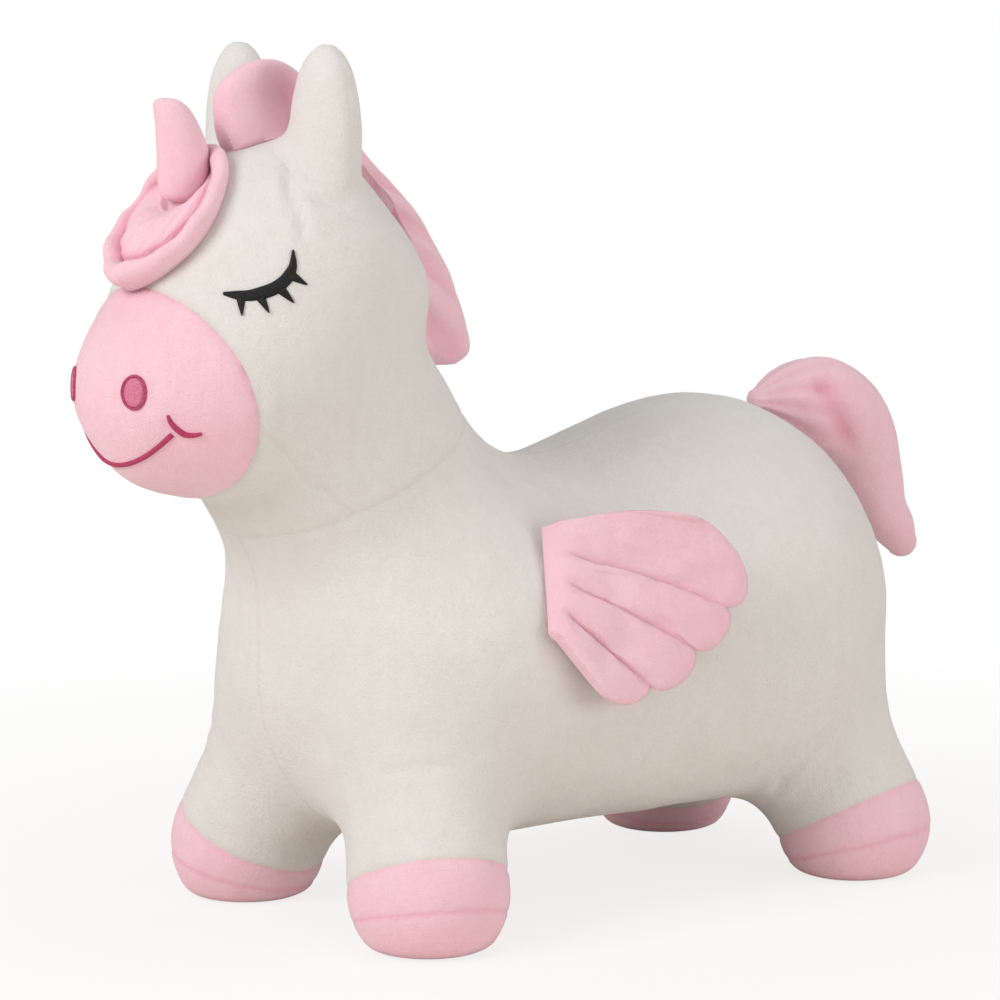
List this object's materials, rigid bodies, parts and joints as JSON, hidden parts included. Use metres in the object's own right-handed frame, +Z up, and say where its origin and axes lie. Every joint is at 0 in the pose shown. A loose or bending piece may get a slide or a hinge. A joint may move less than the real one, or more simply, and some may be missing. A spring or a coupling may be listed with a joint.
{
  "type": "bouncy ride-on unicorn",
  "caption": "Inflated hopper in the shape of a standing unicorn, in a sewn plush cover with flapping quilted wings, horn, mane and tail.",
  "frame": {"origin": "on the floor, under the middle of the overall length and width", "axes": "+X towards the animal's left, +Y towards its tail, +Z up"},
  "size_m": [0.2782, 0.5852, 0.4784],
  "materials": {
    "plush_white": "short-pile velour plush, off-white",
    "plush_pink": "short-pile velour plush, light pink",
    "thread_black": "satin-stitch embroidery",
    "thread_magenta": "satin-stitch embroidery",
    "filling": "loose polyester fibre",
    "bladder": "soft vinyl, semi-gloss",
    "zip_tape": "woven tape with a moulded coil",
    "zip_metal": "plated",
    "valve": "moulded, smooth"
  },
  "bodies": {
    "feet": {"left_front_hoof_band": "plush_pink", "left_front_hoof_sole": "plush_pink", "left_front_leg_cover": "plush_white", "left_hind_hoof_band": "plush_pink", "left_hind_hoof_sole": "plush_pink", "left_hind_leg_cover": "plush_white", "right_front_hoof_band": "plush_pink", "right_front_hoof_sole": "plush_pink", "right_front_leg_cover": "plush_white", "right_hind_hoof_band": "plush_pink", "right_hind_hoof_sole": "plush_pink", "right_hind_leg_cover": "plush_white"},
    "torso": {"left_body_side": "plush_white", "left_head_side": "plush_white", "left_ear_front": "plush_white", "left_ear_back": "plush_white", "left_belly_panel": "plush_white", "left_eye": "thread_black", "left_nostril": "thread_magenta", "left_zip_tape": "zip_tape", "right_body_side": "plush_white", "right_head_side": "plush_white", "right_ear_front": "plush_white", "right_ear_back": "plush_white", "right_belly_panel": "plush_white", "right_eye": "thread_black", "right_nostril": "thread_magenta", "right_zip_tape": "zip_tape", "muzzle": "plush_pink", "chin_gusset": "plush_white", "mouth": "thread_magenta", "forelock": "plush_pink", "mane_cover": "plush_pink", "mane_stuffing": "filling", "air_bladder": "bladder", "valve_seat": "valve", "zip_coil": "zip_tape", "front_zip_stop": "zip_metal", "rear_zip_stop": "zip_metal"},
    "left_wing": {"left_wing_cover": "plush_pink", "left_wing_wadding": "filling"},
    "right_wing": {"right_wing_cover": "plush_pink", "right_wing_wadding": "filling"},
    "tail": {"tail_cover": "plush_pink", "tail_stuffing": "filling"},
    "horn": {"horn_cover": "plush_pink", "horn_stuffing": "filling"},
    "zip_slide": {"zip_slider": "zip_metal"},
    "zip_tab": {"zip_pull": "zip_metal"},
    "valve_plug_body": {"valve_plug": "valve"}
  },
  "joints": [
    {"name": "bounce", "type": "slide", "parent": "feet", "child": "torso", "axis": [0, 0, 1], "range_m": [-0.014, 0], "stiffness_N_per_m": 8000, "springref_m": 0.003, "deforming": ["left_front_leg_cover", "left_hind_leg_cover", "right_front_leg_cover", "right_hind_leg_cover", "air_bladder"]},
    {"name": "left_wing_flap", "type": "hinge", "parent": "torso", "child": "left_wing", "pos_m": [0.09229, -0.07036, 0.22159], "axis": [0.4609, -0.2853, -0.8404], "range_deg": [0, 75]},
    {"name": "right_wing_flap", "type": "hinge", "parent": "torso", "child": "right_wing", "pos_m": [-0.09229, -0.07036, 0.22159], "axis": [0.4609, 0.2853, 0.8404], "range_deg": [0, 75]},
    {"name": "tail_lift", "type": "hinge", "parent": "torso", "child": "tail", "pos_m": [0, 0.16449, 0.26705], "axis": [1, 0, 0], "range_deg": [0, 60]},
    {"name": "horn_rock", "type": "hinge", "parent": "torso", "child": "horn", "pos_m": [0, -0.2405, 0.42095], "axis": [1, 0, 0], "range_deg": [-10, 10], "stiffness_Nm_per_rad": 0.05},
    {"name": "zip_run", "type": "slide", "parent": "torso", "child": "zip_slide", "axis": [0, 1, 0], "range_m": [0, 0.124]},
    {"name": "zip_tab_swing", "type": "hinge", "parent": "zip_slide", "child": "zip_tab", "pos_m": [0, -0.05, 0.04295], "axis": [1, 0, 0], "range_deg": [-80, 80]},
    {"name": "plug_pull", "type": "slide", "parent": "torso", "child": "valve_plug_body", "axis": [0, 0, -1], "range_m": [0, 0.01]}
  ]
}
